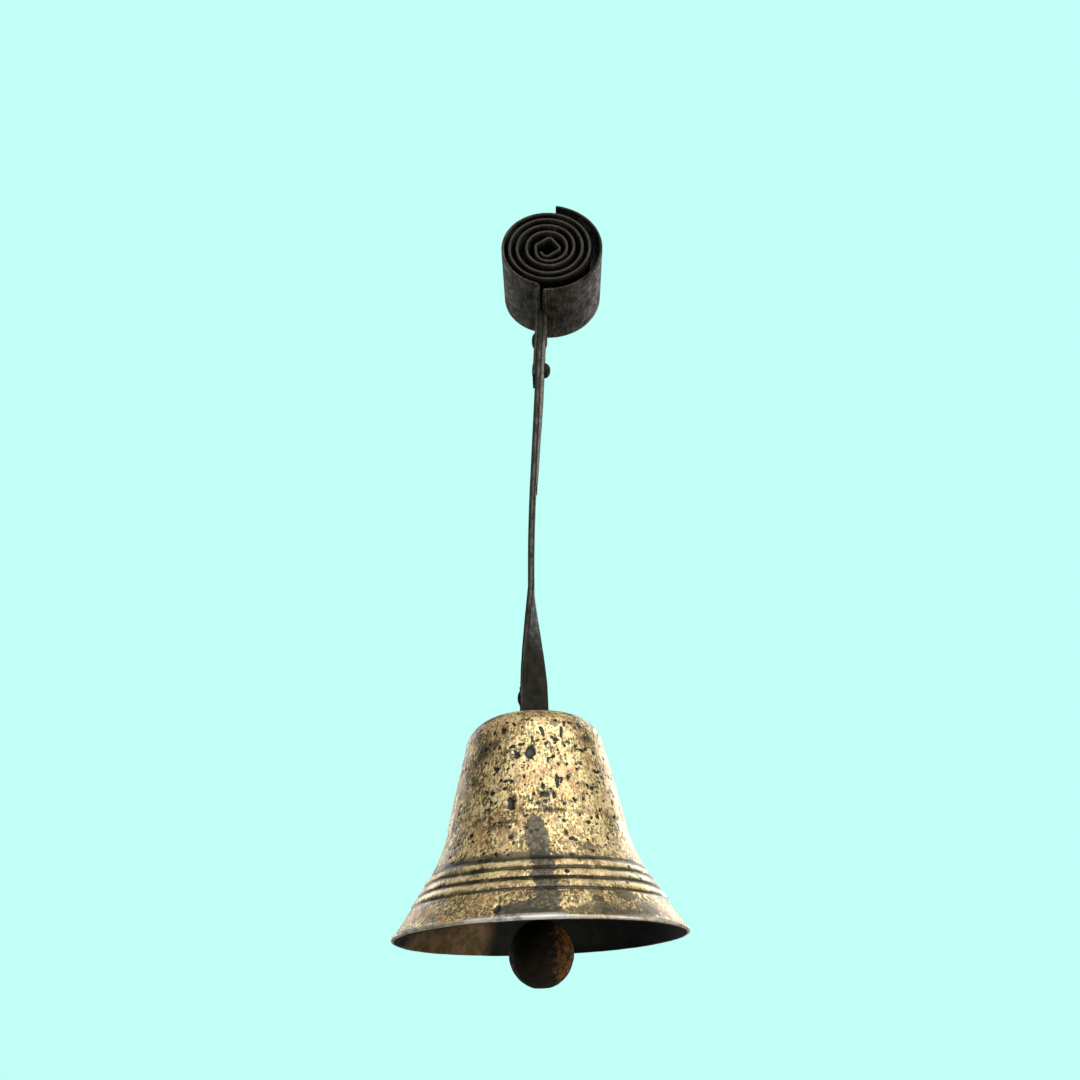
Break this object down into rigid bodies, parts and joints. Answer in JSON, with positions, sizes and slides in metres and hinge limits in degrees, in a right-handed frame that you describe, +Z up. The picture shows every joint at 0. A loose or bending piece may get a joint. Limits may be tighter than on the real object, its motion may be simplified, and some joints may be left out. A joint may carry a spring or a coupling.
{
  "type": "servants' call bell",
  "caption": "Cast brass bell with a free iron clapper, hung on a twisted iron arm from a coiled flat spring so that a tug makes it swing and ring.",
  "frame": {"origin": "centre of the coil's square eye, midway along the coil's axis", "axes": "+Z up with the bell hanging plumb, +Y along the coil's axis towards the wall or frame that the bell hangs on, -Y towards the viewer"},
  "size_m": [0.1, 0.1, 0.3238],
  "materials": {
    "spring_steel": "dark weathered spring steel with light worn edges",
    "wrought_iron": "dark forged iron, dull",
    "brass": "aged cast brass, pitted, tarnished",
    "rusty_iron": "brown rusted iron",
    "leather": "old dark leather"
  },
  "bodies": {
    "spring_anchor": {"coil_spring": "spring_steel"},
    "bell": {"keeper_leaf": "spring_steel", "arm_strap": "wrought_iron", "upper_rivet": "wrought_iron", "lower_rivet": "wrought_iron", "crown_hanger": "wrought_iron", "hanger_rivet": "wrought_iron", "leather_washer": "leather", "bell_shell": "brass", "iron_washer": "wrought_iron", "hanger_nut": "wrought_iron"},
    "clapper": {"clapper_stem": "rusty_iron", "clapper_pin": "rusty_iron", "clapper_ball": "rusty_iron"}
  },
  "joints": [
    {"name": "bell_swing", "type": "hinge", "parent": "spring_anchor", "child": "bell", "pos_m": [0, 0, 0], "axis": [0, 1, 0], "range_deg": [-22, 22], "stiffness_Nm_per_rad": 0.8, "springref_deg": 4.87, "deforming": ["coil_spring"]},
    {"name": "clapper_swing", "type": "hinge", "parent": "bell", "child": "clapper", "pos_m": [-0.013, 0, -0.2307], "axis": [0, 1, 0], "range_deg": [-31, 31]}
  ]
}
